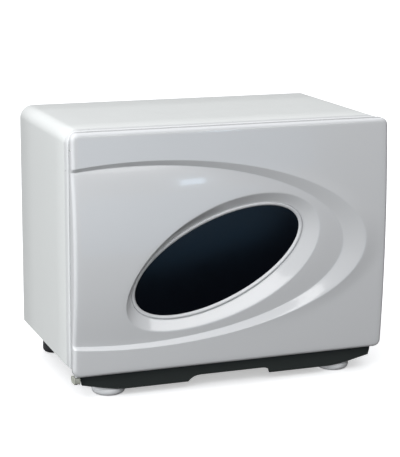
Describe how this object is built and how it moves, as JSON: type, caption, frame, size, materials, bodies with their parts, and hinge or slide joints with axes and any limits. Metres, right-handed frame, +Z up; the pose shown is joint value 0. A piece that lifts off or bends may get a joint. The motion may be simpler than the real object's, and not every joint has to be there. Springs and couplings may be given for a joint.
{
  "type": "hot towel cabinet",
  "caption": "Countertop hot towel cabinet: heated insulated box on feet with a bowed side-hinged door, tilted oval window, wire racks, lamp and a slide-out drip tray.",
  "frame": {"origin": "middle of the footprint on the floor, under the centre of the bounding box", "axes": "+X to the right seen from the front, +Y from the door to the back, +Z up"},
  "size_m": [0.45, 0.2754, 0.36],
  "materials": {
    "casing_white": "white powder coat",
    "door_white": "high gloss white",
    "frame_white": "satin white",
    "galvanised": "galvanised sheet",
    "liner_metal": "satin anodised",
    "foam": "insulating felt",
    "silicone": "matt silicone",
    "phenolic": "matt",
    "rack_chrome": "bright plated",
    "lamp_glass": "clear tube",
    "ivory_plastic": "matt",
    "guard_steel": "fine brushed",
    "ballast_steel": "dipped lacquer",
    "black_plastic": "fine matt",
    "rocker_red": "gloss",
    "wire_sleeve": "silicone sleeve",
    "magnet_body": "matt",
    "bracket_beige": "grey-beige enamel",
    "pin_steel": "ground steel",
    "foot_silver": "satin silver-white",
    "foot_rubber": "matt",
    "screw_zinc": "zinc plated",
    "window_dark": "dark tinted",
    "pane_clear": "clear",
    "gasket_rubber": "soft matt",
    "tray_black": "satin black"
  },
  "bodies": {
    "cabinet": {"casing_wrap": "casing_white", "front_frame": "frame_white", "base_pan": "galvanised", "back_panel": "casing_white", "inner_liner": "liner_metal", "liner_insulation": "foam", "heater_mat": "silicone", "thermostat": "phenolic", "rack_studs": "pin_steel", "lamp_tube": "lamp_glass", "lamp_holders": "ivory_plastic", "lamp_guard": "guard_steel", "lamp_ballast": "ballast_steel", "lamp_starter": "ivory_plastic", "terminal_block": "ivory_plastic", "power_inlet": "black_plastic", "heat_switch_housing": "black_plastic", "lamp_switch_housing": "black_plastic", "wiring_harness": "wire_sleeve", "door_switch_housing": "black_plastic", "catch_magnet": "magnet_body", "lower_hinge_bracket": "bracket_beige", "lower_hinge_pin": "pin_steel", "upper_hinge_bracket": "casing_white", "upper_hinge_pin": "pin_steel", "tray_rails": "galvanised", "front_feet": "foot_silver", "rear_feet": "foot_rubber", "back_panel_screws": "screw_zinc", "base_screws": "screw_zinc", "foot_screws": "screw_zinc", "hinge_screws": "screw_zinc", "rail_screws": "screw_zinc"},
    "door": {"door_skin": "door_white", "door_insulation": "foam", "door_inner_panel": "liner_metal", "window_rim": "door_white", "window_glass": "window_dark", "window_inner_pane": "pane_clear", "door_gasket": "gasket_rubber", "catch_strike": "pin_steel", "hinge_bushes": "ivory_plastic", "door_screws": "screw_zinc"},
    "tray": {"drip_tray": "tray_black"},
    "rack_upper": {"upper_rack": "rack_chrome"},
    "rack_lower": {"lower_rack": "rack_chrome"},
    "rocker_heat": {"heat_rocker": "rocker_red"},
    "rocker_lamp": {"lamp_rocker": "rocker_red"},
    "plunger": {"door_switch_plunger": "ivory_plastic"}
  },
  "joints": [
    {"name": "door_hinge", "type": "hinge", "parent": "cabinet", "child": "door", "pos_m": [-0.2185, -0.11875, 0.2], "axis": [0, 0, -1], "range_deg": [0, 95]},
    {"name": "switch_plunger_slide", "type": "slide", "parent": "cabinet", "child": "plunger", "axis": [0, -1, 0], "range_m": [0, 0.0025]},
    {"name": "tray_slide", "type": "slide", "parent": "cabinet", "child": "tray", "axis": [0, -1, 0], "range_m": [0, 0.11]},
    {"name": "upper_rack_slide", "type": "slide", "parent": "cabinet", "child": "rack_upper", "axis": [0, -1, 0], "range_m": [0, 0.008]},
    {"name": "lower_rack_slide", "type": "slide", "parent": "cabinet", "child": "rack_lower", "axis": [0, -1, 0], "range_m": [0, 0.008]},
    {"name": "heat_rocker_pivot", "type": "hinge", "parent": "cabinet", "child": "rocker_heat", "pos_m": [-0.11, 0.13375, 0.078], "axis": [1, 0, 0], "range_deg": [-18, 0]},
    {"name": "lamp_rocker_pivot", "type": "hinge", "parent": "cabinet", "child": "rocker_lamp", "pos_m": [-0.078, 0.13375, 0.078], "axis": [1, 0, 0], "range_deg": [-18, 0]}
  ],
  "couplings": [
    {"joint": "switch_plunger_slide", "follows": "door_hinge", "m_per_rad": 0.0015}
  ]
}
